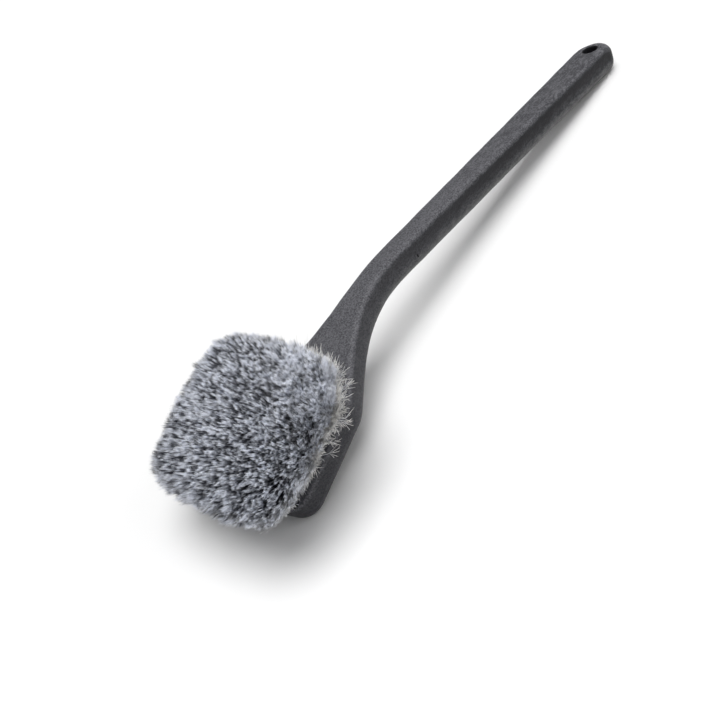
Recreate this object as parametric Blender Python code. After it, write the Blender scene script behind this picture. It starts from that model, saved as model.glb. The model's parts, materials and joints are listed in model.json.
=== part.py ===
"""Long-handled wheel brush, 509 mm long.

One moulding is both the brush block and the handle. Each tuft of bristles is folded
over a flat anchor staple at the bottom of a drilled blind hole, and fans out above
the block. The brush lies on its back: it rests on the toe edge of the block and on
the end of the handle, with the bristles up.

Brush frame, before the brush is laid down: X runs from the toe along the flat
bristle face towards the handle, Y runs across, Z is the way the bristles point,
and the bristle face is Z = 0.
"""

import math

import bmesh
import bpy
import numpy as np
from mathutils import Matrix, Vector

# Moulding, along its bristle side
TOTAL_LENGTH = 0.509
BLOCK_WIDTH = 0.0853
BLOCK_THICKNESS = 0.0194
FULL_WIDTH_END = 0.0753  # where the shoulders start to draw in
SHOULDER_LENGTH = 0.1213
SHOULDER_EXPONENT = 0.57  # below 1 the shoulders draw in early and the neck is long
TOE_RADIUS = 0.158  # of the shallow arc between the toe's corners
TOE_CORNER_RADIUS = 0.0165
NECK_WIDTH = 0.0205
HANDLE_END_WIDTH = 0.0304
HANDLE_THICKNESS = 0.0234
BEND_ANGLE = math.radians(23.4)  # away from the bristle side
BEND_START = 0.1255
BEND_LENGTH = 0.0878
BLOCK_TOP_RADIUS = 0.0035
BLOCK_BACK_RADIUS = 0.0070
HANDLE_TOP_RADIUS = 0.0042
HANDLE_BACK_RADIUS = 0.0082
END_TOP_RADIUS = 0.0088  # the top edge gets rounder towards the very end of the handle
END_BLEND_LENGTH = 0.026
HANG_HOLE_RADIUS = 0.0061
HANG_HOLE_FROM_END = 0.0181

# Tufts
ROW_COUNTS = (5, 4, 5, 4, 5, 4)  # from the toe to the heel
FIRST_ROW = 0.0100
ROW_PITCH = 0.0136
TUFT_PITCH = 0.0165
TRIM_LENGTH = 0.0508  # bristle length above the face
TUFT_RADIUS = 0.0033
UPRIGHT_ROW = 0.0508  # a tuft here leans neither to the toe nor to the heel
LEAN_PER_LENGTH = 10.6  # slope gained per metre along the block
LEAN_PER_WIDTH = 21.4  # slope gained per metre across it
MAX_LEAN = 0.78
FAN_HEIGHT = 0.0415  # height at which a tuft has the two radii below
FAN_RADIUS_ALONG = 0.0096
FAN_RADIUS_ACROSS = 0.0145
FAN_START = 0.0120  # height at which the tuft's rings turn level
COLLAR_LENGTH = 0.0045  # round stretch just above the face, along the hole
FOLD_ROUNDING = 0.0012  # length over which the fold narrows at the bottom of the hole
FOLD_SHARE = 0.7  # of the tuft's radius, at the very bottom
TIP_ROUNDING = ((0.0030, 1.0), (0.0008, 0.92), (0.0, 0.72))  # drop below the tip, share of the radii

# Blind holes and anchor staples
GAP = 0.0003
HOLE_DEPTH = 0.0130
STAPLE_THICKNESS = 0.0006
STAPLE_HEIGHT = 0.0021
STAPLE_BITE = 0.0010  # how far each end sits in the wall of its hole
STAPLE_DEPTH = 0.0095  # depth of the staple's middle, along the hole

# Facets
TOE_STEPS = 4
CORNER_STEPS = 6
SIDE_STEPS = 3
SHOULDER_STEPS = 22
HANDLE_STEPS = 12
HANDLE_SPACING = 1.5  # above 1 the handle's points lie closer together near the neck
END_STEPS = 8
EDGE_STEPS = 4  # in each rounded edge of the moulding
BEND_SAMPLES = 4001
HANG_HOLE_SIDES = 24
TUFT_HOLE_SIDES = 16
TUFT_SIDES = 12
MOULDING_SMOOTH_ANGLE = math.radians(35.0)
TUFT_SMOOTH_ANGLE = math.radians(50.0)
MERGE_DISTANCE = 1e-6
TILT_STEPS = 50  # halvings in the search for the angle at which the brush lies


def clear_scene():
    for item in list(bpy.data.objects):
        bpy.data.objects.remove(item, do_unlink=True)


def make_material(name, color, roughness, metallic=0.0):
    material = bpy.data.materials.new(name)
    material.use_nodes = True
    shader = material.node_tree.nodes["Principled BSDF"]
    shader.inputs["Base Color"].default_value = (*color, 1.0)
    shader.inputs["Roughness"].default_value = roughness
    shader.inputs["Metallic"].default_value = metallic
    return material


def ease(t):
    """Quintic step from 0 to 1 with no slope or curvature at its ends."""
    t = np.clip(t, 0.0, 1.0)
    return t * t * t * (t * (6.0 * t - 15.0) + 10.0)


def bend(s):
    """Carries lengths along the bristle side to X, Z and the angle turned so far."""
    grid = np.linspace(0.0, TOTAL_LENGTH, BEND_SAMPLES)
    t = np.clip((grid - BEND_START) / BEND_LENGTH, 0.0, 1.0)
    angle = BEND_ANGLE * t * t * (3.0 - 2.0 * t)
    step = grid[1] - grid[0]
    x = np.concatenate([[0.0], np.cumsum(np.cos(angle[:-1])) * step])
    z = np.concatenate([[0.0], -np.cumsum(np.sin(angle[:-1])) * step])
    return np.interp(s, grid, x), np.interp(s, grid, z), np.interp(s, grid, angle)


def plan_outline():
    """Half the outline of the moulding seen from the bristle side, toe to handle end."""
    half_width = BLOCK_WIDTH / 2.0
    center_y = half_width - TOE_CORNER_RADIUS
    turn = math.asin(center_y / (TOE_RADIUS - TOE_CORNER_RADIUS))
    center_s = TOE_RADIUS - (TOE_RADIUS - TOE_CORNER_RADIUS) * math.cos(turn)
    a = np.linspace(0.0, turn, TOE_STEPS, endpoint=False)
    toe = np.stack([TOE_RADIUS * (1.0 - np.cos(a)), TOE_RADIUS * np.sin(a)], -1)
    a = np.linspace(turn, math.pi / 2.0, CORNER_STEPS, endpoint=False)
    corner = TOE_CORNER_RADIUS * np.stack([-np.cos(a), np.sin(a)], -1)
    corner += (center_s, center_y)

    s = np.linspace(center_s, FULL_WIDTH_END, SIDE_STEPS, endpoint=False)
    side = np.stack([s, np.full_like(s, half_width)], -1)

    t = np.linspace(0.0, 1.0, SHOULDER_STEPS, endpoint=False)
    narrowing = ease(t**SHOULDER_EXPONENT)
    width = half_width + (NECK_WIDTH / 2.0 - half_width) * narrowing
    shoulder = np.stack([FULL_WIDTH_END + SHOULDER_LENGTH * t, width], -1)

    end_radius = HANDLE_END_WIDTH / 2.0
    handle_start = FULL_WIDTH_END + SHOULDER_LENGTH
    t = np.linspace(0.0, 1.0, HANDLE_STEPS, endpoint=False) ** HANDLE_SPACING
    s = handle_start + (TOTAL_LENGTH - end_radius - handle_start) * t
    handle = np.stack([s, NECK_WIDTH / 2.0 + (end_radius - NECK_WIDTH / 2.0) * t], -1)

    a = np.linspace(0.0, math.pi / 2.0, END_STEPS)
    end = end_radius * np.stack([np.sin(a), np.cos(a)], -1)
    end += (TOTAL_LENGTH - end_radius, 0.0)
    return np.concatenate([toe, corner, side, shoulder, handle, end])


def moulding_rings():
    """One closed ring of points for each point of the outline.

    Each ring goes down the +Y side from the top edge to the back and up the -Y side.
    An edge rounding moves its points inwards along the outline's own normal.
    """
    outline = plan_outline()
    tangent = np.gradient(outline, axis=0)
    tangent /= np.linalg.norm(tangent, axis=1)[:, None]
    normal = np.stack([-tangent[:, 1], tangent[:, 0]], -1)
    normal[0] = (-1.0, 0.0)
    normal[-1] = (1.0, 0.0)

    share = ease((outline[:, 0] - FULL_WIDTH_END) / SHOULDER_LENGTH)[:, None]
    thickness = BLOCK_THICKNESS + (HANDLE_THICKNESS - BLOCK_THICKNESS) * share
    top_radius = BLOCK_TOP_RADIUS + (HANDLE_TOP_RADIUS - BLOCK_TOP_RADIUS) * share
    end_share = ease(1.0 + (outline[:, 0] - TOTAL_LENGTH) / END_BLEND_LENGTH)[:, None]
    top_radius += (END_TOP_RADIUS - HANDLE_TOP_RADIUS) * end_share
    back_radius = BLOCK_BACK_RADIUS + (HANDLE_BACK_RADIUS - BLOCK_BACK_RADIUS) * share

    a = np.linspace(0.0, math.pi / 2.0, EDGE_STEPS + 1)[None, :]
    back_inset = back_radius * (1.0 - np.sin(a))
    inset = np.concatenate([top_radius * (1.0 - np.sin(a)), back_inset[:, ::-1]], 1)
    back_level = -thickness + back_radius * (1.0 - np.cos(a))
    level = np.concatenate([-top_radius * (1.0 - np.cos(a)), back_level[:, ::-1]], 1)

    s = outline[:, :1] - inset * normal[:, :1]
    y = np.maximum(outline[:, 1:] - inset * normal[:, 1:], 0.0)
    x, z, angle = bend(s)
    half = np.stack([x + np.sin(angle) * level, y, z + np.cos(angle) * level], -1)
    mirrored = half[:, ::-1] * np.array([1.0, -1.0, 1.0])
    return np.concatenate([half, mirrored], 1)


def object_from_bmesh(name, mesh_data, material, smooth_angle=None):
    mesh = bpy.data.meshes.new(name)
    bmesh.ops.recalc_face_normals(mesh_data, faces=mesh_data.faces)
    mesh_data.to_mesh(mesh)
    mesh_data.free()
    if material is not None:
        mesh.materials.append(material)
    if smooth_angle is not None:
        mesh.shade_smooth()
        mesh.set_sharp_from_angle(angle=smooth_angle)
    item = bpy.data.objects.new(name, mesh)
    bpy.context.collection.objects.link(item)
    return item


def loft(mesh_data, rings, capped=True):
    """Joins rings of equally many points with quads, and caps the first and last."""
    made = [[mesh_data.verts.new(point) for point in ring] for ring in rings]
    for low, high in zip(made, made[1:]):
        for i in range(len(low)):
            j = (i + 1) % len(low)
            mesh_data.faces.new((low[i], low[j], high[j], high[i]))
    if capped:
        mesh_data.faces.new(made[0])
        mesh_data.faces.new(made[-1])


def hole_frame(root, lean):
    """Matrix at a tuft's root whose Z follows the tuft and whose Y runs across."""
    z = Vector((lean[0], lean[1], 1.0)).normalized()
    y = (Vector((0.0, 1.0, 0.0)) - z * z.y).normalized()
    x = y.cross(z)
    matrix = Matrix((x, y, z)).transposed().to_4x4()
    return Matrix.Translation((root[0], root[1], 0.0)) @ matrix


def tuft_layout():
    """Root and lean of every tuft, row by row, each row staggered from the last."""
    tufts = []
    for row, count in enumerate(ROW_COUNTS):
        x = FIRST_ROW + ROW_PITCH * row
        for place in range(count):
            y = TUFT_PITCH * (place - (count - 1) / 2.0)
            lean = Vector((LEAN_PER_LENGTH * (x - UPRIGHT_ROW), LEAN_PER_WIDTH * y))
            if lean.length > MAX_LEAN:
                lean *= MAX_LEAN / lean.length
            tufts.append(((x, y), lean))
    return tufts


def as_cutter(item):
    item.hide_render = True
    item.display_type = "WIRE"


def cut(item, cutter):
    boolean = item.modifiers.new("cut", "BOOLEAN")
    boolean.operation = "DIFFERENCE"
    boolean.solver = "EXACT"
    boolean.object = cutter


def round_ring(matrix, radius, level, sides):
    """Points of a circle about the matrix's Z axis, at a level along it."""
    a = np.arange(sides) * (2.0 * math.pi / sides)
    return [matrix @ Vector((radius * math.cos(t), radius * math.sin(t), level)) for t in a]


def add_cylinder(mesh_data, matrix, radius, bottom, top, sides):
    rings = [round_ring(matrix, radius, level, sides) for level in (bottom, top)]
    loft(mesh_data, rings)


def add_box(mesh_data, matrix, size):
    bmesh.ops.create_cube(mesh_data, size=1.0, matrix=matrix @ Matrix.Diagonal((*size, 1.0)))


def build_moulding(tufts):
    plastic = make_material("moulded_plastic", (0.050, 0.050, 0.056), 0.62)
    mesh_data = bmesh.new()
    loft(mesh_data, moulding_rings(), capped=False)
    bmesh.ops.remove_doubles(mesh_data, verts=mesh_data.verts, dist=MERGE_DISTANCE)
    moulding = object_from_bmesh("block_and_handle", mesh_data, plastic, MOULDING_SMOOTH_ANGLE)

    holes = bmesh.new()
    slots = bmesh.new()
    slot_size = (STAPLE_THICKNESS + 2.0 * GAP, staple_length() + 2.0 * GAP, STAPLE_HEIGHT + 2.0 * GAP)
    for root, lean in tufts:
        matrix = hole_frame(root, lean)
        add_cylinder(holes, matrix, TUFT_RADIUS + GAP, -HOLE_DEPTH, HOLE_DEPTH, TUFT_HOLE_SIDES)
        add_box(slots, matrix @ Matrix.Translation((0.0, 0.0, -STAPLE_DEPTH)), slot_size)

    hang_hole = bmesh.new()
    x, z, angle = bend(TOTAL_LENGTH - HANG_HOLE_FROM_END)
    matrix = Matrix.Translation((x, 0.0, z)) @ Matrix.Rotation(float(angle), 4, "Y")
    reach = 2.0 * HANDLE_THICKNESS
    add_cylinder(hang_hole, matrix, HANG_HOLE_RADIUS, -reach, reach, HANG_HOLE_SIDES)

    cutters = []
    for name, data in (("tuft_holes", holes), ("staple_slots", slots), ("hang_hole", hang_hole)):
        cutter = object_from_bmesh(name, data, None)
        as_cutter(cutter)
        cut(moulding, cutter)
        cutters.append(cutter)
    return [moulding], cutters


def fan_radii(height):
    share = height / FAN_HEIGHT
    along = TUFT_RADIUS + (FAN_RADIUS_ALONG - TUFT_RADIUS) * share
    across = TUFT_RADIUS + (FAN_RADIUS_ACROSS - TUFT_RADIUS) * share
    return along, across


def tuft_rings(root, lean):
    """Round along the hole, then level ellipses that widen up to a rounded tip."""
    matrix = hole_frame(root, lean)
    fold = 2.0 * GAP - HOLE_DEPTH
    rings = [
        round_ring(matrix, TUFT_RADIUS * FOLD_SHARE, fold, TUFT_SIDES),
        round_ring(matrix, TUFT_RADIUS, fold + FOLD_ROUNDING, TUFT_SIDES),
        round_ring(matrix, TUFT_RADIUS, COLLAR_LENGTH, TUFT_SIDES),
    ]
    tip_height = TRIM_LENGTH / math.sqrt(1.0 + lean.length_squared)
    levels = [(FAN_START, 1.0)] + [(tip_height - drop, share) for drop, share in TIP_ROUNDING]
    for height, share in levels:
        along, across = fan_radii(height)
        center = Matrix.Translation((root[0] + lean[0] * height, root[1] + lean[1] * height, height))
        ellipse = center @ Matrix.Diagonal((along * share, across * share, 1.0, 1.0))
        rings.append(round_ring(ellipse, 1.0, 0.0, TUFT_SIDES))
    return rings


def build_tufts(tufts):
    bristle = make_material("bristle_filament", (0.26, 0.27, 0.31), 0.55)
    made = []
    cutters = []
    window = (STAPLE_THICKNESS + 2.0 * GAP, 3.0 * TUFT_RADIUS, STAPLE_HEIGHT + 2.0 * GAP)
    for number, (root, lean) in enumerate(tufts, 1):
        mesh_data = bmesh.new()
        loft(mesh_data, tuft_rings(root, lean))
        tuft = object_from_bmesh(f"bristle_tuft_{number:02d}", mesh_data, bristle, TUFT_SMOOTH_ANGLE)
        window_data = bmesh.new()
        place = hole_frame(root, lean) @ Matrix.Translation((0.0, 0.0, -STAPLE_DEPTH))
        add_box(window_data, place, window)
        cutter = object_from_bmesh(f"fold_{number:02d}", window_data, None)
        as_cutter(cutter)
        cut(tuft, cutter)
        made.append(tuft)
        cutters.append(cutter)
    return made, cutters


def staple_length():
    return 2.0 * (TUFT_RADIUS + GAP + STAPLE_BITE)


def build_staples(tufts):
    """Flat lengths of wire, each across one tuft's fold with its ends in the hole's wall."""
    wire = make_material("staple_wire", (0.55, 0.55, 0.55), 0.35, 1.0)
    size = (STAPLE_THICKNESS, staple_length(), STAPLE_HEIGHT)
    made = []
    for number, (root, lean) in enumerate(tufts, 1):
        mesh_data = bmesh.new()
        add_box(mesh_data, Matrix.Identity(4), size)
        staple = object_from_bmesh(f"anchor_staple_{number:02d}", mesh_data, wire)
        staple.matrix_world = hole_frame(root, lean) @ Matrix.Translation((0.0, 0.0, -STAPLE_DEPTH))
        made.append(staple)
    return made


def lying_tilt():
    """Angle that brings the toe edge and the handle end down to the same level."""
    points = moulding_rings().reshape(-1, 3)
    toe = points[points[:, 0] < FULL_WIDTH_END]
    end = points[points[:, 0] > TOTAL_LENGTH / 2.0]
    low, high = 0.0, BEND_ANGLE
    for _ in range(TILT_STEPS):
        tilt = (low + high) / 2.0
        toe_level = (toe[:, 0] * math.sin(tilt) + toe[:, 2] * math.cos(tilt)).min()
        end_level = (end[:, 0] * math.sin(tilt) + end[:, 2] * math.cos(tilt)).min()
        if end_level < toe_level:
            low = tilt
        else:
            high = tilt
    return tilt


def lay_down(items, cutters):
    """Turns the brush onto its back, with the middle of its box over the origin."""
    turn = Matrix.Rotation(-lying_tilt(), 4, "Y")
    corners = np.array([turn @ item.matrix_world @ v.co for item in items for v in item.data.vertices])
    lowest = corners.min(axis=0)
    highest = corners.max(axis=0)
    base = bpy.data.objects.new("brush_on_its_back", None)
    bpy.context.collection.objects.link(base)
    middle = (lowest + highest) / 2.0
    base.matrix_world = Matrix.Translation((-middle[0], -middle[1], -lowest[2])) @ turn
    for item in items + cutters:
        item.parent = base


def main():
    clear_scene()
    tufts = tuft_layout()
    moulding, moulding_cutters = build_moulding(tufts)
    tuft_objects, tuft_cutters = build_tufts(tufts)
    staples = build_staples(tufts)
    lay_down(moulding + tuft_objects + staples, moulding_cutters + tuft_cutters)
    bpy.context.view_layer.update()


main()
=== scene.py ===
import json
import math

import bpy
import numpy as np
from mathutils import Matrix, Vector


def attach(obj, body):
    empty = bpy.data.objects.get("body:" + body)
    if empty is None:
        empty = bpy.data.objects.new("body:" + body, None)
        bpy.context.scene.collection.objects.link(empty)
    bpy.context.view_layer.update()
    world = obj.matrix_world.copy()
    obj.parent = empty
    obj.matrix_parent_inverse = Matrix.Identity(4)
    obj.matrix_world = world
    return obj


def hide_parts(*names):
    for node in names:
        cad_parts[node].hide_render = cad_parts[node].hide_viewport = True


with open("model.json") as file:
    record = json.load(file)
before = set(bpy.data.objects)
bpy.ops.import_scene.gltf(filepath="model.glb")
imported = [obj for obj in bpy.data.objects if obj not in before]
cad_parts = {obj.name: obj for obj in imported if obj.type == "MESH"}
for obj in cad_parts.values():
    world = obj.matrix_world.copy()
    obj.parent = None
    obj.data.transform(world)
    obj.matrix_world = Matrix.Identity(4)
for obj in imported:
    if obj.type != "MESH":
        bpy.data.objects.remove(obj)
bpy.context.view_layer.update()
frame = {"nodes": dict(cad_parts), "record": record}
print("frame loaded:", len(frame["nodes"]), "CAD nodes")

# The brush's own axes: X runs from the toe to the handle, Y across, Z the way the bristles point.

blockBack = {
    "mount": "block_back",
    "fromToe": 0.042,      # where the mount's point lies along the block
    "thickness": 0.0194,   # of the block, from the bristle face to the back
}


def brushAxes():
    # The mount's axis looks out of the block's back, so Z is its opposite, Y stays level and X is Y x Z.
    mount = next(m for m in frame["record"]["mounts"] if m["name"] == blockBack["mount"])
    z = -np.array(mount["axis"])
    z /= np.linalg.norm(z)
    y = np.array([0.0, 1.0, 0.0])
    x = np.cross(y, z)
    origin = np.array(mount["pos_m"]) - blockBack["fromToe"] * x + blockBack["thickness"] * z
    return np.stack([x, y, z]), origin


axes, axesOrigin = brushAxes()


def toRow(points):
    # From the brush's axes to the frame that every object shares.
    return points @ axes + axesOrigin


quarterTurn = math.pi / 2.0
fullTurn = 2.0 * math.pi


def circle(sides):
    # Cosines and sines of equal steps round a full turn.
    a = np.arange(sides) * (fullTurn / sides)
    return np.stack([np.cos(a), np.sin(a)], -1)


def ringQuads(rings, count):
    # Rings of points, each joined to the next by quads: a point, its neighbour and the same two one ring on.
    here = np.arange(count)
    there = (here + 1) % count
    base = (np.arange(rings - 1) * count)[:, None]
    return np.stack([base + here, base + there, base + count + there, base + count + here], -1).reshape(-1, 4)


def putMesh(name, points, quads, triangles=(), smooth=True):
    # Points, four-sided and three-sided faces as whole arrays, written straight into a new mesh.
    mesh = bpy.data.meshes.new(name)
    quads = np.asarray(quads, np.int32).reshape(-1, 4)
    triangles = np.asarray(triangles, np.int32).reshape(-1, 3)
    corners = np.concatenate([quads.ravel(), triangles.ravel()])
    starts = np.concatenate([np.arange(len(quads)) * 4, 4 * len(quads) + np.arange(len(triangles)) * 3])
    mesh.vertices.add(len(points))
    mesh.vertices.foreach_set("co", np.asarray(points, np.float32).ravel())
    mesh.loops.add(len(corners))
    mesh.loops.foreach_set("vertex_index", corners)
    mesh.polygons.add(len(starts))
    mesh.polygons.foreach_set("loop_start", starts.astype(np.int32))
    mesh.update(calc_edges=True)
    mesh.validate()
    if smooth:
        mesh.shade_smooth()
    item = bpy.data.objects.new(name, mesh)
    bpy.context.scene.collection.objects.link(item)
    return item


class Wire:
    # An output socket of a material's nodes. Arithmetic adds Math nodes, and add() puts in any other node.
    def __init__(self, tree, socket=None):
        self.tree = tree
        self.socket = socket

    def add(self, kind, settings=None, sockets=None, output=0):
        node = self.tree.nodes.new(kind)
        for name, value in (settings or {}).items():
            if name == "stops":  # of a ramp: (position, colour) pairs
                for number, (position, color) in enumerate(value):
                    stops = node.color_ramp.elements
                    stop = stops[number] if number < 2 else stops.new(position)
                    stop.position = position
                    stop.color = (*color, 1.0)
            else:
                setattr(node, name, value)
        for name, value in (sockets or {}).items():
            if isinstance(value, Wire):
                self.tree.links.new(value.socket, node.inputs[name])
            else:
                node.inputs[name].default_value = value
        return Wire(self.tree, node.outputs[output])

    def math(self, operation, first, second):
        return self.add("ShaderNodeMath", {"operation": operation}, {0: first, 1: second})

    def __add__(self, other):
        return self.math("ADD", self, other)

    def __radd__(self, other):
        return self.math("ADD", other, self)

    def __sub__(self, other):
        return self.math("SUBTRACT", self, other)

    def __rsub__(self, other):
        return self.math("SUBTRACT", other, self)

    def __mul__(self, other):
        return self.math("MULTIPLY", self, other)

    def __rmul__(self, other):
        return self.math("MULTIPLY", other, self)

    def stretched(self, scale):
        return self.add("ShaderNodeMapping", None, {"Vector": self, "Scale": scale})

    def noise(self, scale, detail, roughness):
        sockets = {"Vector": self, "Scale": scale, "Detail": detail, "Roughness": roughness}
        return self.add("ShaderNodeTexNoise", None, sockets)

    def between(self, low, high):  # 0 below low, 1 above high, smooth between
        sockets = {"Value": self, "From Min": low, "From Max": high}
        return self.add("ShaderNodeMapRange", {"interpolation_type": "SMOOTHSTEP"}, sockets)

    def mixed(self, first, second):  # two colours, by this factor
        sockets = {0: self, 6: asColor(first), 7: asColor(second)}
        return self.add("ShaderNodeMix", {"data_type": "RGBA"}, sockets, 2)


def asColor(value):
    return value if isinstance(value, Wire) else (*value, 1.0)


def newFinish(name, constants):
    # A Principled material whose plain values are set on the shader's own sockets.
    material = bpy.data.materials.new(name)
    material.use_nodes = True
    tree = material.node_tree
    shader = tree.nodes["Principled BSDF"]
    for socket, value in constants.items():
        shader.inputs[socket].default_value = value
    return material, shader, Wire(tree)


def drive(shader, **sockets):
    for name, wire in sockets.items():
        wire.tree.links.new(wire.socket, shader.inputs[name.replace("_", " ")])


def bumped(wire, height, distance, strength):
    # A Bump node whose heights are in metres.
    return wire.add("ShaderNodeBump", None, {"Height": height, "Distance": distance, "Strength": strength})


# The moulding is block and handle in one.
moulding = {
    "length": 0.509,
    "blockWidth": 0.0853,
    "blockThickness": blockBack["thickness"],
    "handleThickness": 0.0234,
    "shoulderStart": 0.0753,
    "shoulderLength": 0.1213,
    "shoulderPower": 0.57,      # below 1 the shoulders draw in early and the neck is long
    "toeRadius": 0.158,
    "cornerRadius": 0.0165,
    "neckWidth": 0.0205,
    "endWidth": 0.0304,
    "bendAngle": math.radians(23.4),
    "bendStart": 0.1255,
    "bendLength": 0.0878,
    "topRadius": (0.0035, 0.0042),    # rounding of the bristle side's edge: block, handle
    "endTopRadius": 0.0088,           # and at the very end of the handle, reached over the blend's length
    "endBlend": 0.026,
    "backRadius": (0.0070, 0.0082),   # rounding of the back's edge: block, handle
    "unevenness": 0.00006,            # slow waves that the foam leaves as it shrinks
    "hangHoleRadius": 0.0061,
    "hangHoleFromEnd": 0.0181,
    "hangHoleRim": 0.0009,            # rounding of the hole's edge on both sides
    "nickAt": 0.216,                  # a small nick in the side, past the neck
    "nickDown": 0.0140,               # how far below the flat it is
    "nickSize": (0.0006, 0.0009, 0.0016),
    "sharpAngle": math.radians(32.0),
}


def ease(t):
    # Quintic step: no slope and no curvature at either end.
    t = np.clip(t, 0.0, 1.0)
    return t * t * t * (t * (6.0 * t - 15.0) + 10.0)


def bend(s):
    # Length along the bristle side to X and Z, and the angle turned: the angle eases in as 3t^2 - 2t^3
    # and its cosine and sine are summed along the length.
    grid = np.linspace(0.0, moulding["length"], 4001)
    t = np.clip((grid - moulding["bendStart"]) / moulding["bendLength"], 0.0, 1.0)
    angle = moulding["bendAngle"] * t * t * (3.0 - 2.0 * t)
    step = grid[1]
    x = np.concatenate([[0.0], np.cumsum(np.cos(angle[:-1])) * step])
    z = np.concatenate([[0.0], -np.cumsum(np.sin(angle[:-1])) * step])
    return np.interp(s, grid, x), np.interp(s, grid, z), np.interp(s, grid, angle)


def frameAt(s):
    # The turn and the place of the flat at a length s: rows X along the handle, Y across it, Z out of it.
    x, z, angle = bend(s)
    turn = np.array([
        [math.cos(angle), 0.0, -math.sin(angle)],
        [0.0, 1.0, 0.0],
        [math.sin(angle), 0.0, math.cos(angle)],
    ])
    return turn, np.array([x, 0.0, z])


def mouldingOutline():
    # Half the outline from the toe to the end: a shallow arc, a corner arc, a straight side, a shoulder
    # that eases from the block's width to the neck's, a straight taper and a half circle.
    m = moulding
    half = m["blockWidth"] / 2.0
    centerY = half - m["cornerRadius"]
    turn = math.asin(centerY / (m["toeRadius"] - m["cornerRadius"]))
    centerS = m["toeRadius"] - (m["toeRadius"] - m["cornerRadius"]) * math.cos(turn)
    a = np.linspace(0.0, turn, 22, endpoint=False)
    toe = np.stack([m["toeRadius"] * (1.0 - np.cos(a)), m["toeRadius"] * np.sin(a)], -1)
    a = np.linspace(turn, quarterTurn, 20, endpoint=False)
    corner = np.stack([centerS - m["cornerRadius"] * np.cos(a), centerY + m["cornerRadius"] * np.sin(a)], -1)
    s = np.linspace(centerS, m["shoulderStart"], 40, endpoint=False)
    side = np.stack([s, np.full_like(s, half)], -1)
    t = np.linspace(0.0, 1.0, 110, endpoint=False)
    neck = m["neckWidth"] / 2.0
    width = half + (neck - half) * ease(t ** m["shoulderPower"])
    shoulder = np.stack([m["shoulderStart"] + m["shoulderLength"] * t, width], -1)
    radius = m["endWidth"] / 2.0
    start = m["shoulderStart"] + m["shoulderLength"]
    t = np.linspace(0.0, 1.0, 150, endpoint=False)
    taper = np.stack([start + (m["length"] - radius - start) * t, neck + (radius - neck) * t], -1)
    a = np.linspace(0.0, quarterTurn, 26)
    end = np.stack([m["length"] - radius + radius * np.sin(a), radius * np.cos(a)], -1)
    return np.concatenate([toe, corner, side, shoulder, taper, end])


def mouldingProfile():
    # Half the cross-section, from the middle of the bristle side over the edge to the middle of the back.
    # Each point has: its share of the flat's half width, how far it goes round the top and back roundings,
    # how far it is down the side, and the two parts of its outward direction.
    flat = np.array([0.0, 0.2, 0.4, 0.6, 0.78, 0.9, 0.97])
    turn = np.linspace(0.0, quarterTurn, 9)
    down = np.array([0.12, 0.31, 0.5, 0.69, 0.88])
    cap = len(flat) + len(turn)
    share = np.concatenate([flat, np.ones(2 * len(turn) + len(down)), flat[::-1]])
    topTurn = np.concatenate([np.zeros(len(flat)), turn, np.full(len(down) + cap, quarterTurn)])
    backTurn = quarterTurn - topTurn[::-1]
    sideShare = np.concatenate([np.zeros(cap), down, np.ones(cap)])
    return share, topTurn, backTurn, sideShare


def mouldingPoints():
    # The profile is carried along the outline. A rounding of radius r moves its points in along the outline's
    # normal by r(1 - sin a) and down by r(1 - cos a). Unevenness is a sum of slow sines, pushed outwards.
    m = moulding
    outline = mouldingOutline()
    tangent = np.gradient(outline, axis=0)
    tangent /= np.linalg.norm(tangent, axis=1)[:, None]
    normal = np.stack([-tangent[:, 1], tangent[:, 0]], -1)
    normal[0] = (-1.0, 0.0)
    normal[-1] = (1.0, 0.0)
    blendIn = ease((outline[:, 0] - m["shoulderStart"]) / m["shoulderLength"])[:, None]
    thickness = m["blockThickness"] + (m["handleThickness"] - m["blockThickness"]) * blendIn
    topRadius = m["topRadius"][0] + (m["topRadius"][1] - m["topRadius"][0]) * blendIn
    backRadius = m["backRadius"][0] + (m["backRadius"][1] - m["backRadius"][0]) * blendIn
    endShare = ease(1.0 + (outline[:, 0] - m["length"]) / m["endBlend"])[:, None]
    topRadius += (m["endTopRadius"] - m["topRadius"][1]) * endShare

    share, topTurn, backTurn, sideShare = mouldingProfile()
    inset = topRadius * (1.0 - np.sin(topTurn)) + backRadius * (1.0 - np.cos(backTurn))
    straight = thickness - topRadius - backRadius
    level = -topRadius * (1.0 - np.cos(topTurn)) - straight * sideShare - backRadius * np.sin(backTurn)
    outward = np.minimum(np.sin(topTurn), np.cos(backTurn))
    upward = np.cos(topTurn) - np.sin(backTurn)

    s = outline[:, :1] - inset * normal[:, :1]
    y = share * np.maximum(outline[:, 1:] - inset * normal[:, 1:], 0.0)

    def placed(across):
        wave = np.sin(92.0 * s + 130.0 * across + 1.1)
        wave = wave + np.sin(190.0 * s - 240.0 * across + 260.0 * level + 0.4)
        wave = m["unevenness"] * (wave + 0.3 * np.sin(330.0 * s + 330.0 * level + 170.0 * across))
        x, z, angle = bend(s + outward * wave * normal[:, :1])
        height = level + upward * wave
        shifted = across + np.sign(across) * outward * wave * normal[:, 1:]
        return np.stack([x + np.sin(angle) * height, shifted, z + np.cos(angle) * height], -1)

    return np.concatenate([placed(y), placed(-y)[:, -2:0:-1]], 1)


def mapProfile(item, values):
    # A UV map with one pair of values for each corner of the mesh's faces.
    profileMap = item.data.uv_layers.new(name="Profile")
    profileMap.data.foreach_set("uv", np.asarray(values, np.float32).ravel())


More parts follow.
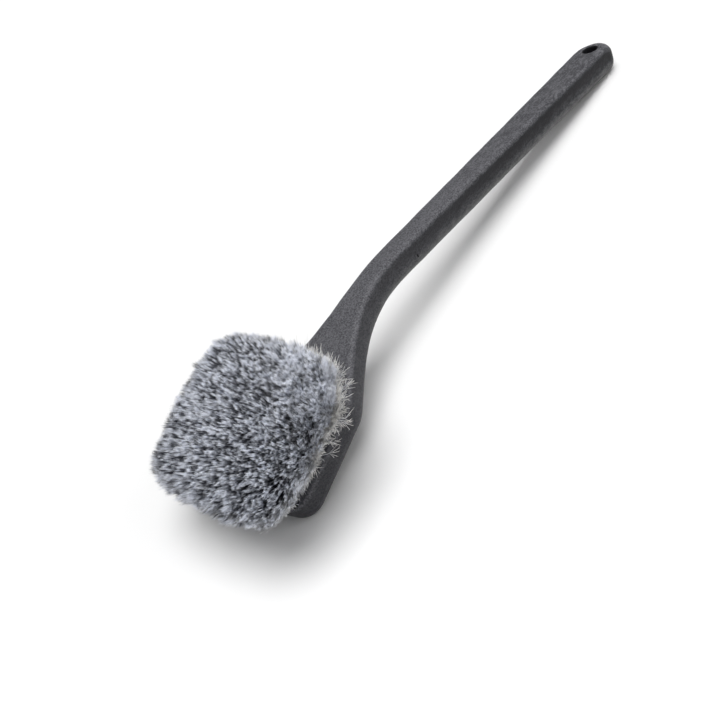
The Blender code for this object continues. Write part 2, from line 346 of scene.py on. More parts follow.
def turnedCutter(name, frames, radii, heights, sides):
    # A profile of radii and heights turned round each frame's Z, closed at both ends by its middle.
    ring = np.asarray(radii)[:, None, None] * circle(sides)
    level = np.broadcast_to(np.asarray(heights)[:, None, None], (len(radii), sides, 1))
    wall = np.concatenate([ring, level], 2).reshape(-1, 3)
    local = np.concatenate([wall, [[0.0, 0.0, heights[0]], [0.0, 0.0, heights[-1]]]])
    quads = ringQuads(len(radii), sides)
    j = np.arange(sides)
    k = (j + 1) % sides
    last = (len(radii) - 1) * sides
    bottom = np.stack([np.full(sides, last + sides), k, j], -1)
    top = np.stack([np.full(sides, last + sides + 1), last + j, last + k], -1)
    triangles = np.concatenate([bottom, top])
    offsets = (np.arange(len(frames)) * len(local))[:, None, None]
    points = np.concatenate([toRow(local @ turn + place) for turn, place in frames])
    cutter = putMesh(name, points, quads[None] + offsets, triangles[None] + offsets, smooth=False)
    # The cut walls of the holes, slots and nick get the band's painted shade, standing for the shade inside
    # them.
    mapProfile(cutter, np.full((len(cutter.data.loops), 2), (1.0, 1.1)))  # as dark as the band on the side
    return cutter


def cutAway(item, cutters):
    # Exact Booleans, applied, so that the finished mesh holds the holes.
    for cutter in cutters:
        boolean = item.modifiers.new("cut", "BOOLEAN")
        boolean.operation = "DIFFERENCE"
        boolean.solver = "EXACT"
        boolean.object = cutter
    graph = bpy.context.evaluated_depsgraph_get()
    finished = bpy.data.meshes.new_from_object(item.evaluated_get(graph))
    item.modifiers.clear()
    item.data = finished
    for cutter in cutters:
        bpy.data.objects.remove(cutter, do_unlink=True)


plastic = {
    "dark": (0.042, 0.042, 0.048),
    "pale": (0.129, 0.129, 0.141),
    # Painted shade, for the sides, the band under the edge of the flat and the insides of the cut holes and
    # nick:
    "shaded": (0.006, 0.006, 0.008),      # of the band under the edge of the flat, and in the holes
    # Painted reflected light from the floor, on the lower edge of the side and back:
    "paintedBounce": (0.150, 0.150, 0.146),     # of the edge that the brush is laid down on
    "roughness": 0.58,
    "shine": 0.22,
    "grain": 950.0,                       # pebbles per metre
    "grainHeight": 0.00018,
    "speckle": 820.0,                     # how fine the speckles are, and the clouds and pores
    "clouds": 45.0,
    "pores": 240.0,
    "flow": (42.0, 340.0, 340.0),         # streaks, along the handle and across it
    "mottle": (170.0, 330.0, 330.0),
}


def plasticFinish():
    # Charcoal foam plastic: a pebbled skin with a speckled tone, slow clouds, mottle, streaks drawn out along
    # the handle by the flow of the moulding, and pores. Painted shade darkens the sides, most of all in a
    # blotched dark band under the edge of the flat, and a paler lower edge at the back is a painted
    # reflection of the floor's light. The Profile map's first value runs from 0 at the toe to 1 at the end.
    # Its second value is 0 on the flat, 1 at its edge, 2 at the foot of the side and 3 on the back.
    p = plastic
    material, shader, wire = newFinish("mouldedPlastic", {"Specular IOR Level": p["shine"]})
    place = wire.add("ShaderNodeTexCoord", output=3)
    clouds = place.noise(p["clouds"], 3.0, 0.55)
    flow = place.stretched(p["flow"]).noise(1.0, 4.0, 0.6)
    mottle = place.stretched(p["mottle"]).noise(1.0, 3.0, 0.6)
    speckle = place.noise(p["speckle"], 2.0, 0.7)
    grain = {"Vector": place, "Scale": p["grain"]}
    pebbles = place.add("ShaderNodeTexVoronoi", {"feature": "SMOOTH_F1"}, grain)
    cells = place.add("ShaderNodeTexVoronoi", {"feature": "F1"}, {"Vector": place, "Scale": p["pores"]})
    pore = 1.0 - cells.between(0.04, 0.14)

    profile = wire.add("ShaderNodeUVMap", {"uv_map": "Profile"})
    along = wire.add("ShaderNodeSeparateXYZ", None, {"Vector": profile}, 0)
    blotch = 0.6 * along.between(0.55, 0.95) * (mottle - 0.57)
    tone = 0.72 * speckle + 0.12 * clouds + 0.08 * flow + 0.08 * mottle + blotch
    color = tone.between(0.36, 0.64).mixed(p["dark"], p["pale"])
    around = wire.add("ShaderNodeSeparateXYZ", None, {"Vector": profile}, 1) + 0.8 * (mottle - 0.5)
    # Painted shade: the side faces are mixed towards the shaded colour, and the band just under the flat's
    # edge more, blotched by the mottle.
    side = 0.56 * around.between(0.5, 1.1) * (1.0 - around.between(2.6, 3.0))
    band = around.between(0.45, 1.05) * (1.0 - around.between(1.2, 2.2))
    band = band * (0.20 + 0.80 * along.between(0.35, 0.75))
    color = (side + 0.42 * band).mixed(color, p["shaded"])
    # Painted reflected light: the lower edge of the side and back rounding is made paler as if lit from the
    # floor, and the same mask lowers the roughness there a little.
    bounceEdge = around.between(1.75, 2.6) * (1.0 - around.between(2.75, 3.0))
    bounceEdge = bounceEdge * (0.25 + 0.75 * along.between(0.3, 0.5))
    color = (0.60 * bounceEdge).mixed(color, p["paintedBounce"])
    color = (0.5 * pore).mixed(color, p["dark"])
    roughness = p["roughness"] - 0.16 * (clouds - 0.5) - 0.06 * bounceEdge + 0.12 * pore
    height = pebbles * -0.9 + 0.6 * speckle + 0.9 * mottle + 0.35 * flow - 0.9 * pore
    relief = bumped(wire, height, p["grainHeight"], 0.8)
    drive(shader, Base_Color=color, Roughness=roughness, Normal=relief)
    return material


# Where each tuft is rooted and how it leans.
tuftLayout = {
    "rows": (5, 4, 5, 4, 5, 4),   # tufts in each row, from the toe to the heel
    "firstRow": 0.0100,
    "rowPitch": 0.0136,
    "tuftPitch": 0.0165,
    "uprightRow": 0.0508,         # how far from the toe a tuft stands upright
    "leanPerLength": 10.6,        # slope gained per metre from there, and from the middle line
    "leanPerWidth": 21.4,
    "maxLean": 0.78,
    "radius": 0.0033,
    "holeGap": 0.0003,
    "holeDepth": 0.0130,
    "holeMouth": 0.0003,          # how much wider a hole is at its mouth, and how deep that goes
    "mouthDepth": 0.0006,
    "stapleDepth": 0.0095,
    "stapleSize": (0.0006, 0.0092, 0.0021),
}


def tuftRoots():
    # Rows are staggered. A tuft's slope grows with its distance from the upright row and from the middle.
    t = tuftLayout
    rowOf = np.repeat(np.arange(len(t["rows"])), t["rows"])
    count = np.array(t["rows"])[rowOf]
    placeIn = np.concatenate([np.arange(n) for n in t["rows"]])
    across = t["tuftPitch"] * (placeIn - (count - 1) / 2.0)
    root = np.stack([t["firstRow"] + t["rowPitch"] * rowOf, across], -1)
    lean = np.stack([t["leanPerLength"] * (root[:, 0] - t["uprightRow"]), t["leanPerWidth"] * root[:, 1]], -1)
    length = np.linalg.norm(lean, axis=1, keepdims=True)
    return root, lean * np.minimum(1.0, t["maxLean"] / np.maximum(length, 1e-9))


def holeFrames(root, lean):
    # Rows X, Y, Z of each hole: Z follows the tuft, Y is level with the block's width, X is Y x Z.
    z = np.concatenate([lean, np.ones((len(lean), 1))], 1)
    z /= np.linalg.norm(z, axis=1, keepdims=True)
    y = np.array([0.0, 1.0, 0.0]) - z * z[:, 1:2]
    y /= np.linalg.norm(y, axis=1, keepdims=True)
    turns = np.stack([np.cross(y, z), y, z], 1)
    places = np.concatenate([root, np.zeros((len(root), 1))], 1)
    return turns, places


def cutTuftHoles(turns, places):
    # A straight hole along each tuft, a little wider at its mouth, and out past the block's face.
    t = tuftLayout
    radius = t["radius"] + t["holeGap"]
    mouth = radius + t["holeMouth"]
    heights = (-t["holeDepth"], -t["mouthDepth"], 0.0002, 0.0060)
    return turnedCutter("tuftHoles", list(zip(turns, places)), (radius, radius, mouth, mouth), heights, 20)


def cutStapleSlots(turns, places):
    # A box at each staple's place, larger than the staple by the gap on every side.
    t = tuftLayout
    half = (np.array(t["stapleSize"]) + 2.0 * t["holeGap"]) / 2.0
    signs = np.array([(x, y, z) for z in (-1, 1) for x, y in ((-1, -1), (1, -1), (1, 1), (-1, 1))])
    local = signs * half - np.array([0.0, 0.0, t["stapleDepth"]])
    points = np.concatenate([toRow(local @ turn + place) for turn, place in zip(turns, places)])
    box = np.concatenate([[(0, 3, 2, 1), (4, 5, 6, 7)], ringQuads(2, 4)])
    offsets = (np.arange(len(turns)) * len(signs))[:, None, None]
    return putMesh("stapleSlots", points, box[None] + offsets, smooth=False)


def cutHangHole():
    # A straight hole, flared at both faces of the handle by a quarter circle of the rim's radius.
    m = moulding
    rim = m["hangHoleRim"]
    a = np.linspace(0.0, quarterTurn, 5)
    flare = m["hangHoleRadius"] + rim * (1.0 - np.cos(a))
    rise = rim * np.sin(a)
    back = -m["handleThickness"]
    past = 0.003
    radii = np.concatenate([[flare[-1]], flare[::-1], flare, [flare[-1]]])
    heights = np.concatenate([[back - past], (rim - rise)[::-1] + back, rise - rim, [past]])
    return turnedCutter("hangHole", [frameAt(m["length"] - m["hangHoleFromEnd"])], radii, heights, 40)


def cutNick():
    # A half circle turned round the flat's normal and scaled to an ellipsoid, half sunk in the side.
    m = moulding
    turn, place = frameAt(m["nickAt"])
    side = np.interp(m["nickAt"], *mouldingOutline().T)
    place = place - side * turn[1] - m["nickDown"] * turn[2]
    a = np.linspace(-quarterTurn, quarterTurn, 9)[1:-1]
    return turnedCutter("nick", [(np.diag(m["nickSize"]) @ turn, place)], np.cos(a), np.sin(a), 12)


def buildMoulding():
    # The carried profile with its Profile map, and the holes, slots, hang hole and nick cut in it.
    points = mouldingPoints()
    rings, count = points.shape[:2]
    placed = toRow(points.reshape(-1, 3))
    placed[:, 2] = np.maximum(placed[:, 2], 0.0)  # the worn high spots rest on the floor
    item = putMesh("blockAndHandle", placed, ringQuads(rings, count)[:, ::-1])
    corner = np.zeros(len(item.data.loops), np.int32)
    item.data.loops.foreach_get("vertex_index", corner)
    _, topTurn, backTurn, sideShare = mouldingProfile()
    around = topTurn / quarterTurn + sideShare + backTurn / quarterTurn
    around = np.concatenate([around, around[-2:0:-1]])
    mapProfile(item, np.stack([(corner // count) / rings, around[corner % count]], -1))

    turns, places = holeFrames(*tuftRoots())
    cutAway(item, [cutTuftHoles(turns, places), cutStapleSlots(turns, places), cutHangHole(), cutNick()])
    item.data.shade_smooth()
    item.data.set_sharp_from_angle(angle=moulding["sharpAngle"])
    item.data.materials.append(plasticFinish())
    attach(item, "root")
    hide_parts("block_and_handle")


buildMoulding()
print("moulding made")

bristles = {
    "seed": 41,
    "filaments": 16500,
    "fringe": 2600,              # frayed filaments round the rim, most of them near the splayed corner
    "strays": 70,
    "shaftRadius": 0.00015,
    "strandRadius": 0.00012,
    "strands": 6,
    "fieldCenter": 0.0417,       # of the trimmed tips, from the toe
    "fieldHalfLength": 0.0612,
    "fieldHalfWidth": 0.0760,
    "fieldPower": 4.0,           # squareness of the field's outline
    "crownHeight": 0.0495,
    "rimHeight": 0.0415,
    "domePower": 2.4,            # above 2 the dome is flat in the middle and falls late
    "cell": (0.0100, 0.0157),    # half sizes of the patch of tips that one tuft fills
    "mixing": 0.10,              # how far neighbouring patches mix, as a share of one
    "lock": 0.0125,              # size of a lock of bristles at the tips
    "lockShift": 0.0038,         # how far a whole lock moves aside, and up or down
    "lockLift": 0.0032,
    "clump": 0.0015,             # size of the small clumps in a lock, and the same for these
    "clumpShift": 0.0010,
    "clumpLift": 0.0046,
    "tipLift": 0.0016,           # and how uneven single tips are
    "fringeClump": 12,           # filaments in each clump of the fringe
    "fringePush": 0.0018,        # how far a clump stands out past the rim, and how far ends stay behind it
    "fringeBehind": 0.0045,
    "fringeScatter": 0.0016,
    "splitAt": 0.80,             # share of its length at which a filament splits
    "splay": 0.00050,            # how far its strands part, and how far where it is frayed
    "fringeSplay": 0.0022,
    "crimp": 0.0005,             # waviness of a filament
    "straight": 0.30,            # share of its length that a filament keeps its hole's direction
    "wander": 0.0040,            # how far the middle of a filament strays to any side
    "bow": 0.0050,               # how far it stands towards the heel
    "reach": 0.0782,             # nothing goes further than this to either side
    # The splayed corner is also painted lighter, and is spared some painted shade between the bristles.
    "splayedSide": -0.75,        # angle from the heel of the corner that is splayed and frayed the most
    "wornCorner": 0.0055,        # how far that corner is worn in
    "rimLight": 0.87,            # how much of the darkness between the bristles the open rim is spared
}


def fieldPoint(u, v):
    # From the unit square to the trimmed field. The worn corner is drawn in by two eased steps multiplied.
    b = bristles
    worn = b["wornCorner"] * ease(u) * ease(-v)
    x = b["fieldCenter"] + b["fieldHalfLength"] * u - worn * math.cos(b["splayedSide"])
    return np.stack([x, b["fieldHalfWidth"] * v - worn * math.sin(b["splayedSide"])], -1)


def tipField(rng):
    # Evenly scattered points: the k-th is at 1/2 + k/g and 1/2 + k/g^2, less the whole numbers, and g is the
    # root of g^3 = g + 1. They are kept where |u|^n + |v|^n is below 1, about 0.92 of the square.
    b = bristles
    plasticNumber = 1.32471795724
    number = np.arange(int(b["filaments"] / 0.92))
    u = 2.0 * ((0.5 + number / plasticNumber) % 1.0) - 1.0
    v = 2.0 * ((0.5 + number / plasticNumber**2) % 1.0) - 1.0
    norm = (np.abs(u) ** b["fieldPower"] + np.abs(v) ** b["fieldPower"]) ** (1.0 / b["fieldPower"])
    inside = norm < 1.0
    u, v, norm = u[inside], v[inside], norm[inside]
    tip = fieldPoint(u, v)
    splayed = ease(0.9 * (u * math.cos(b["splayedSide"]) + v * math.sin(b["splayedSide"])))
    return tip + rng.normal(0.0, 0.0004, tip.shape), norm, splayed


def gathered(tip, size, rng):
    # Groups tips by the cells of a grid whose lines wander as a slow sine and a quick one, and gives each
    # tip the middle of its group and the group's six random values.
    def wavy(value, other, slow, phase, quick):
        value = value + 0.42 * size * np.sin(other * slow / size + phase)
        return value + 0.25 * size * np.sin(other * quick / size)

    x = wavy(tip[:, 0], tip[:, 1], 2.1, 0.7, 5.3)
    y = wavy(tip[:, 1], tip[:, 0], 1.9, 2.2, 4.7)
    i = np.floor(x / size).astype(int)
    i -= i.min()
    j = np.floor(y / size + 0.5 * (i % 2)).astype(int)
    j -= j.min()
    group = i * (j.max() + 1) + j
    count = np.maximum(np.bincount(group), 1)
    middle = np.stack([np.bincount(group, tip[:, 0]), np.bincount(group, tip[:, 1])], -1) / count[:, None]
    return middle[group], rng.random((len(count), 6))[group]


def bezier(points, t):
    # Quadratic curve from a start, towards a middle point, to an end: s(1 - t)^2 + 2mt(1 - t) + et^2.
    start, middle, end = (p[:, None, :] for p in points)
    t = t[None, :, None]
    return start * (1 - t) ** 2 + 2 * middle * t * (1 - t) + end * t * t


def tubes(path, radius, reference):
    # Each path becomes a three-sided tube. Its last point is the tip and its first ring is closed by a face.
    count, rings = path.shape[0], path.shape[1] - 1
    tangent = np.gradient(path, axis=1)
    tangent /= np.linalg.norm(tangent, axis=2, keepdims=True)
    first = np.cross(tangent, reference[:, None, :])
    first /= np.maximum(np.linalg.norm(first, axis=2, keepdims=True), 1e-9)
    second = np.cross(tangent, first)
    cosine, sine = circle(3).T[:, :, None]
    spoke = cosine * first[:, :-1, None, :] + sine * second[:, :-1, None, :]
    wall = path[:, :-1, None, :] + radius[:, :, None, None] * spoke
    points = np.concatenate([wall.reshape(count, rings * 3, 3), path[:, -1:, :]], 1)
    top = (rings - 1) * 3 + np.array([(0, 1, 3), (1, 2, 3), (2, 0, 3)])
    triangles = np.concatenate([[(0, 2, 1)], top])
    offset = (np.arange(count) * (rings * 3 + 1))[:, None, None]
    return points, ringQuads(rings, 3)[None] + offset, triangles[None] + offset


def perPoint(values, rings):
    # Repeats each ring's value on its three points, with the tip's own value last.
    return np.concatenate([np.repeat(values[:, :rings], 3, axis=1), values[:, rings:rings + 1]], 1)


filament = {
    "dark": (0.030, 0.032, 0.042),
    "grey": (0.24, 0.26, 0.31),
    "silver": (0.66, 0.70, 0.81),
    "pale": (0.86, 0.89, 0.97),
    "cream": (0.94, 0.92, 0.88),
    "roughness": 0.48,
    "shine": 0.40,
}


def filamentFinish():
    # Dark and silver filaments by each one's shade, paler towards the split tips partly as their own colour
    # and partly as painted light, with painted shade down between them, darker in slow patches, and cream
    # where frayed.
    f = filament
    constants = {"Roughness": f["roughness"], "Specular IOR Level": f["shine"]}
    material, shader, wire = newFinish("bristleFilament", constants)
    fibre = wire.add("ShaderNodeAttribute", {"attribute_name": "fibre"}, output=1)
    shade, light, frayed = (
        wire.add("ShaderNodeSeparateXYZ", None, {"Vector": fibre}, output) for output in range(3)
    )
    stops = ((0.24, f["dark"]), (0.82, f["pale"]), (0.46, f["grey"]), (0.64, f["silver"]))
    tone = shade.add("ShaderNodeValToRGB", {"stops": stops}, {"Fac": shade})
    place = wire.add("ShaderNodeTexCoord", output=3)
    patch = place.noise(160.0, 2.0, 0.5).between(0.35, 0.65)
    tone = (0.70 * shade * light.between(0.92, 1.0)).mixed(tone, f["pale"])
    tone = (0.85 * (1.0 - light.between(0.82, 0.97))).mixed(tone, f["dark"])
    tone = (0.15 * (1.0 - patch)).mixed(tone, f["dark"])
    tone = frayed.mixed(tone, f["cream"])
    drive(shader, Base_Color=tone)
    return material


def fieldTips(rng):
    # The trimmed face: each tip is drawn to the middle of its clump, whole locks shift and stand proud, and
    # the height falls from the crown to the rim with a power of the distance from the middle. Gives the even
    # places, the ends, and each filament's shade, fraying and openness to the light at its side.
    b = bristles
    tip, norm, splayed = tipField(rng)
    lockDraw = gathered(tip, b["lock"], rng)[1]
    clumpMiddle, clumpDraw = gathered(tip, b["clump"], rng)
    draw = rng.random((len(tip), 4))
    edge = ease((norm - 0.86) / 0.14)
    loose = 1.0 - 0.6 * edge[:, None]
    pulled = tip + (0.50 + 0.40 * clumpDraw[:, :1]) * (clumpMiddle - tip)
    pulled += b["lockShift"] * (lockDraw[:, :2] - 0.5) + loose * b["clumpShift"] * (clumpDraw[:, 1:3] - 0.5)
    height = b["crownHeight"] + (b["rimHeight"] - b["crownHeight"]) * norm ** b["domePower"]
    unevenness = b["clumpLift"] * (clumpDraw[:, 3] - 0.5) + b["tipLift"] * (draw[:, 2] - 0.5)
    height += b["lockLift"] * (lockDraw[:, 2] - 0.5) + (1.0 - 0.7 * edge) * unevenness
    # The shade is partly painted light: it is raised towards the rim and much more at the splayed corner,
    # standing for the light that falls on those sides, and that corner is also spared some of the painted
    # shade between the bristles. The rest varies at random by lock, clump and filament.
    shade = 0.41 + 0.12 * norm + 1.50 * (clumpDraw[:, 4] - 0.5)
    shade = shade + 0.35 * (draw[:, 0] - 0.5) + 0.42 * (lockDraw[:, 3] - 0.5)
    shade = np.clip(shade + 0.36 * splayed, 0.0, 1.0)
    frayed = 0.35 * edge * draw[:, 1] ** 2 + 0.18 * splayed * draw[:, 3]
    end = np.concatenate([pulled, height[:, None]], 1)
    return tip, end, shade, frayed, np.maximum(edge, 0.45 * splayed)


def rimPoint(angle):
    # Points of the superellipse |u|^n + |v|^n = 1, carried to the field, and the outward direction.
    b = bristles
    c, s = np.cos(angle), np.sin(angle)
    reach = (np.abs(c) ** b["fieldPower"] + np.abs(s) ** b["fieldPower"]) ** (-1.0 / b["fieldPower"])
    return fieldPoint(reach * c, reach * s), np.stack([c, s], -1)


def nearCorner(angle):
    # 1 at the splayed corner, falling as a cosine to 0 on the far side of the rim.
    return 0.5 + 0.5 * np.cos(angle - bristles["splayedSide"])


def fringeTips(rng):
    # Frayed clumps round the rim, mostly near the splayed corner. Each clump has its own push outwards, its
    # own height and paleness, which are the sizes of three fast sines of its angle, and its ends scatter.
    b = bristles
    clumps = b["fringe"] // b["fringeClump"]
    clumpAngle = np.sort(rng.random(clumps)) * fullTurn
    odds = 0.25 + nearCorner(clumpAngle)
    angle = clumpAngle[rng.choice(clumps, b["fringe"], p=odds / odds.sum())]
    near = nearCorner(angle)
    clumpDraw = np.abs(np.sin(angle[:, None] * np.array([517.3, 911.7, 733.1])))
    draw = rng.random((b["fringe"], 4))
    rim, outward = rimPoint(angle + 0.022 * rng.normal(0.0, 1.0, b["fringe"]))
    push = b["fringePush"] * near**3 * clumpDraw[:, 0] - b["fringeBehind"] * draw[:, 0]
    low = (0.03 + 0.20 * clumpDraw[:, 1]) * (0.3 + 0.7 * draw[:, 1])
    flat = rim + outward * push[:, None] - 0.45 * low[:, None] * (rim - np.array([b["fieldCenter"], 0.0]))
    flat += rng.normal(0.0, b["fringeScatter"], flat.shape)
    end = np.concatenate([flat, (b["rimHeight"] * (1.0 - low) - 0.001 * draw[:, 2])[:, None]], 1)
    shade = 0.14 + 0.56 * clumpDraw[:, 2] + 0.30 * draw[:, 2]
    frayed = np.clip(0.20 + 1.20 * near - 0.60 * draw[:, 3], 0.0, 1.0) * (0.60 + 0.40 * clumpDraw[:, 2])
    return rim, end, shade, frayed, np.ones(len(rim))


def strayTips(rng):
    # Single long filaments that stick out past the rim at the splayed corner.
    b = bristles
    angle = rng.normal(b["splayedSide"], 0.45, b["strays"])
    rim, outward = rimPoint(angle)
    reach = 0.0010 + 0.0050 * rng.random(len(rim)) ** 2
    flat = rim + outward * reach[:, None] + rng.normal(0.0, 0.0015, rim.shape)
    height = b["rimHeight"] * (0.62 + 0.38 * rng.random(len(rim)))
    end = np.concatenate([flat, height[:, None]], 1)
    return rim, end, 0.7 + 0.3 * rng.random(len(rim)), np.full(len(rim), 0.9), np.ones(len(rim))


def rooted(away, turn, place):
    # Feet and mouths of one tuft's filaments. They fill the hole evenly: a tip's rank from the middle of the
    # patch gives the radius, as the square root of its share, and its direction stays.
    t = tuftLayout
    angle = np.arctan2(away[:, 1], away[:, 0])
    rank = np.argsort(np.argsort((away**2).sum(1)))
    reach = (t["radius"] + 0.0001) * np.sqrt((rank + 0.5) / len(away))
    inHole = np.stack([reach * np.cos(angle), reach * np.sin(angle)], -1)
    beside = np.sign(inHole[:, 0]) * (0.00060 + 0.62 * np.abs(inHole[:, 0]))  # clear of the staple
    foot = place + np.stack([beside, 0.8 * inHole[:, 1]], -1) @ turn[:2]
    return foot - turn[2] * (t["holeDepth"] - 0.0012), place + inHole @ turn[:2]


def shaftPaths(foot, mouth, axis, goal, frayed, draw):
    # From the foot up the hole, then along a quadratic curve that leaves the mouth along the hole's axis and
    # ends towards the goal. Sines that grow with the length crimp it. Its thin end stands among the strands.
    b = bristles
    length = np.linalg.norm(goal - mouth, axis=1)
    guide = mouth + axis * (b["straight"] * length)[:, None]
    guide[:, :2] += b["wander"] * (draw[:, 6:8] - 0.5)
    guide[:, 0] += b["bow"]
    steps = np.array([0.0, 0.28, 0.56, b["splitAt"], 0.92])
    upper = bezier((mouth, guide, goal), steps)
    phase = fullTurn * (1.5 * steps[None, :, None] + draw[:, None, 8:10])
    crimp = b["crimp"] * (1.0 + 2.0 * frayed[:, None, None])
    upper[:, :, :2] += crimp * np.sin(phase) * steps[None, :, None]
    upper[:, :, 1] = np.clip(upper[:, :, 1], -b["reach"], b["reach"])
    return np.concatenate([foot[:, None], upper], 1), np.concatenate([[0.0], steps])


def strandPaths(split, goal, frayed, edge, rng):
    # From the split to a shoulder and on to the goal, shifted aside by normal draws of the splay's size.
    # Where frayed, a strand is shortened by up to seven tenths.
    b = bristles
    many = len(split)
    splay = b["splay"] * (1.0 + 0.7 * edge) + (b["fringeSplay"] - b["splay"]) * frayed
    side = rng.normal(0.0, 1.0, (many, 3)) * splay[:, None]
    side[:, 2] *= 0.6
    stretch = 0.97 + (0.06 - 0.75 * frayed[:, None]) * rng.random((many, 1))
    begin = split + rng.normal(0.0, 0.00006, (many, 3))
    onward = goal - begin
    shoulder = begin + onward * 0.78 * stretch + side * (0.6 + 0.3 * rng.random((many, 1)))
    path = np.stack([begin, shoulder, begin + onward * stretch + side], 1)
    path[:, :, 1] = np.clip(path[:, :, 1], -b["reach"], b["reach"])
    return path, np.array([b["splitAt"], 0.956, 1.0])


def fibreFacts(shade, along, frayed, edge, rings):
    # Each point's shade, the light that reaches it, and its cream fraying, which starts just below the split.
    # Light falls in step with the length down from the tip, but hardly on the rim, which is open at its side.
    table = np.broadcast_to(along, (len(shade), len(along)))
    light = 1.0 - (1.0 - table) * (1.0 - bristles["rimLight"] * edge[:, None])
    ends = np.clip((table - 0.70) / 0.22, 0.0, 1.0) * frayed[:, None]
    shades = np.broadcast_to(shade[:, None], table.shape)
    return np.stack([perPoint(shades, rings), perPoint(light, rings), perPoint(ends, rings)], -1)


def buildTufts():
    # The tips are laid out first. Then each tuft's filaments are rooted in its hole, bent, split and joined.
    b = bristles
    rng = np.random.default_rng(b["seed"])
    root, lean = tuftRoots()
    turns, places = holeFrames(root, lean)
    parts = [fieldTips(rng), fringeTips(rng), strayTips(rng)]
    tip, end, shade, frayed, edge = (np.concatenate(column) for column in zip(*parts))
    draw = rng.random((len(tip), 12))

    # Each tip belongs to the nearest tuft, measured in units of the patch that a tuft fills.
    middleTip = root + lean * b["rimHeight"]
    offset = (tip[:, None, :] - middleTip[None]) / np.array(b["cell"])
    owner = ((offset + rng.normal(0.0, b["mixing"], (len(tip), 1, 2))) ** 2).sum(-1).argmin(1)
    finish = filamentFinish()
    for number in range(len(root)):
        mine = np.flatnonzero(owner == number)
        many = len(mine)
        foot, mouth = rooted(offset[mine, number], turns[number], places[number])
        goal = end[mine]
        path, along = shaftPaths(foot, mouth, turns[number][2], goal, frayed[mine], draw[mine])
        split = path[:, 4]
        radius = b["shaftRadius"] * np.array([1.0, 1.0, 1.0, 1.0, 0.9]) * (0.85 + 0.3 * draw[mine, 10:11])
        spin = rng.random(many) * fullTurn
        reference = np.stack([np.cos(spin), np.sin(spin), np.full(many, 0.2)], -1)
        facts = fibreFacts(shade[mine], along, frayed[mine], edge[mine], 5)
        made = [(*tubes(path, radius, reference), facts)]
        for _ in range(b["strands"]):
            path, along = strandPaths(split, goal, frayed[mine], edge[mine], rng)
            radius = b["strandRadius"] * np.array([1.0, 0.95]) * (0.8 + 0.4 * rng.random((many, 1)))
            tone = np.clip(shade[mine] + 0.16 * (rng.random(many) - 0.4), 0.0, 1.0)
            facts = fibreFacts(tone, along, frayed[mine], edge[mine], 2)
            made.append((*tubes(path, radius, reference), facts))
        putTuft(number + 1, made, finish)
    print("bristles made:", len(tip), "filaments in", len(root), "tufts")


def putTuft(number, made, finish):
    # Joins the shafts and strands in one mesh, with their facts as an attribute of its points.
    points, quads, triangles, facts = zip(*made)
    starts = np.cumsum([0] + [p.shape[0] * p.shape[1] for p in points])
    item = putMesh(
        f"bristleTuft{number:02d}", toRow(np.concatenate([p.reshape(-1, 3) for p in points])),
        np.concatenate([q.reshape(-1, 4) + start for q, start in zip(quads, starts)]),
        np.concatenate([t.reshape(-1, 3) + start for t, start in zip(triangles, starts)]),
    )
    fibre = item.data.attributes.new("fibre", "FLOAT_VECTOR", "POINT")
    values = np.concatenate([f.reshape(-1, 3) for f in facts])
    fibre.data.foreach_set("vector", values.astype(np.float32).ravel())
    item.data.materials.append(finish)
    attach(item, "root")
    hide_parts(f"bristle_tuft_{number:02d}")


buildTufts()

# The anchor staples stay as CAD nodes.
wireLook = {"color": (0.56, 0.56, 0.55), "dull": (0.30, 0.29, 0.28), "roughness": 0.26}


def wireFinish():
    # Flat wire drawn along its length: long fine scratches, and dull patches where it was cut.
    material, shader, wire = newFinish("stapleWire", {"Metallic": 1.0})
    place = wire.add("ShaderNodeTexCoord", output=3)
    scratches = place.stretched((6000.0, 240.0, 6000.0)).noise(1.0, 3.0, 0.6)
    patches = place.noise(700.0, 2.0, 0.5).between(0.45, 0.7)
    color = (0.6 * patches).mixed(wireLook["color"], wireLook["dull"])
    roughness = wireLook["roughness"] + 0.22 * scratches + 0.14 * patches
    drive(shader, Base_Color=color, Roughness=roughness, Normal=bumped(wire, scratches, 0.00002, 0.6))
    return material


def finishStaples():
    finish = wireFinish()
    staples = [item for name, item in frame["nodes"].items() if name.startswith("anchor_staple")]
    for item in staples:
        item.data.materials.clear()
        item.data.materials.append(finish)
    print("staples finished:", len(staples))


finishStaples()

studio = {
    "floorSize": 24.0,
    "floorColor": (0.86, 0.86, 0.86),
    "wallRadius": 11.0,
    "wallHeight": 12.0,
    "wallSides": 96,
    "keyFrom": (0.10, -0.16, 1.0),      # where the soft overhead light comes from
    "keySoftness": math.radians(50.0),
    "keyStrength": 2.70,
    "sideFrom": (0.55, -1.0, 0.50),     # and a weaker one from the camera's side
    "sideSoftness": math.radians(40.0),
    "sideStrength": 0.70,
    "fill": 0.31,                       # even light from all round
    "aim": (-0.1147, -0.0122, 0.0300),  # the point that the camera looks at, and how far it is from there
    "distance": 0.6250,
    "azimuth": -28.11,
    "elevation": 37.14,
    "roll": -34.96,
    "lens": 45.0,
}


def buildFloor():
    # A flat square of pale paper.
    half = studio["floorSize"] / 2.0
    corners = [(-half, -half, 0.0), (half, -half, 0.0), (half, half, 0.0), (-half, half, 0.0)]
    floor = putMesh("studioFloor", corners, [(0, 1, 2, 3)], smooth=False)
    constants = {"Base Color": (*studio["floorColor"], 1.0), "Roughness": 0.9, "Specular IOR Level": 0.2}
    floor.data.materials.append(newFinish("studioPaper", constants)[0])


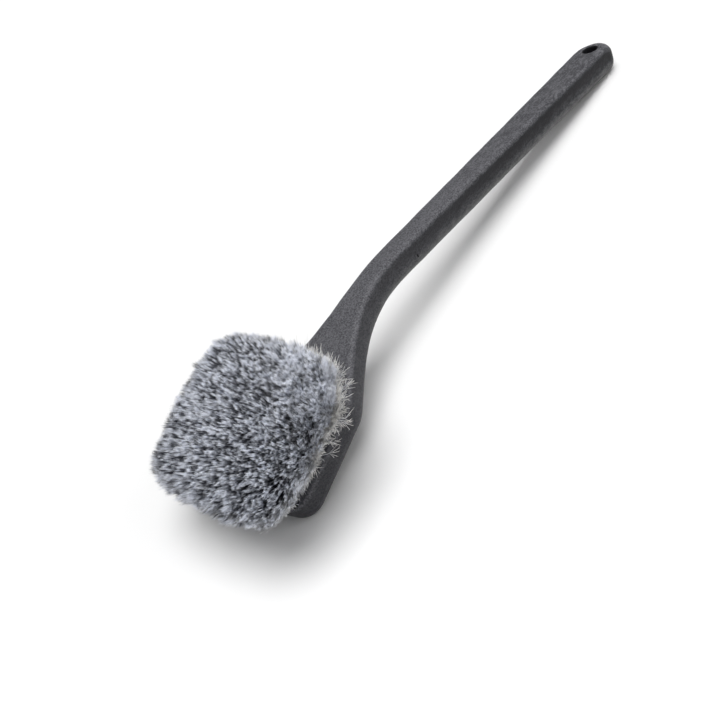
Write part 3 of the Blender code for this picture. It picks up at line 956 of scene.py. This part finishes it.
def buildWall():
    # A white wall round the floor, which the camera sees and which neither lights nor shades the brush.
    sides = studio["wallSides"]
    ring = np.concatenate([studio["wallRadius"] * circle(sides), np.zeros((sides, 1))], 1)
    points = np.concatenate([ring, ring + np.array([0.0, 0.0, studio["wallHeight"]])])
    wall = putMesh("studioWall", points, ringQuads(2, sides)[:, ::-1])
    constants = {
        "Base Color": (0.0, 0.0, 0.0, 1.0),
        "Emission Color": (1.0, 1.0, 1.0, 1.0),
        "Emission Strength": 1.0,
        "Specular IOR Level": 0.0,
    }
    wall.data.materials.append(newFinish("whiteWall", constants)[0])
    wall.visible_diffuse = False
    wall.visible_glossy = False
    wall.visible_transmission = False
    wall.visible_shadow = False


def putSun(name, direction, softness, strength):
    # An even light from one direction, whose angle makes its shadows soft.
    light = bpy.data.lights.new(name, "SUN")
    light.angle = softness
    light.energy = strength
    lamp = bpy.data.objects.new(name, light)
    lamp.rotation_mode = "QUATERNION"
    lamp.rotation_quaternion = Vector(direction).to_track_quat("Z", "Y")
    bpy.context.scene.collection.objects.link(lamp)


def buildLights():
    putSun("softKey", studio["keyFrom"], studio["keySoftness"], studio["keyStrength"])
    putSun("sideLight", studio["sideFrom"], studio["sideSoftness"], studio["sideStrength"])
    world = bpy.data.worlds.new("whiteRoom")
    world.use_nodes = True
    world.node_tree.nodes["Background"].inputs["Color"].default_value = (1.0, 1.0, 1.0, 1.0)
    world.node_tree.nodes["Background"].inputs["Strength"].default_value = studio["fill"]
    bpy.context.scene.world = world


def buildCamera():
    # Azimuth 0 looks along +Y. Roll turns the picture about the line of sight.
    a, e, r = (math.radians(studio[key]) for key in ("azimuth", "elevation", "roll"))
    back = Vector((math.sin(a) * math.cos(e), -math.cos(a) * math.cos(e), math.sin(e)))
    level = Vector((0.0, 0.0, 1.0)).cross(back).normalized()
    rise = back.cross(level)
    right = level * math.cos(r) + rise * math.sin(r)
    up = rise * math.cos(r) - level * math.sin(r)
    camera = bpy.data.cameras.new("studioCamera")
    camera.lens = studio["lens"]
    camera.sensor_width = 36.0
    camera.clip_start = 0.01
    holder = bpy.data.objects.new("studioCamera", camera)
    place = Vector(studio["aim"]) + back * studio["distance"]
    holder.matrix_world = Matrix.Translation(place) @ Matrix((right, up, back)).transposed().to_4x4()
    bpy.context.scene.collection.objects.link(holder)
    bpy.context.scene.camera = holder
    bpy.context.scene.view_settings.view_transform = "Standard"


buildFloor()
buildWall()
buildLights()
buildCamera()
print("studio made")
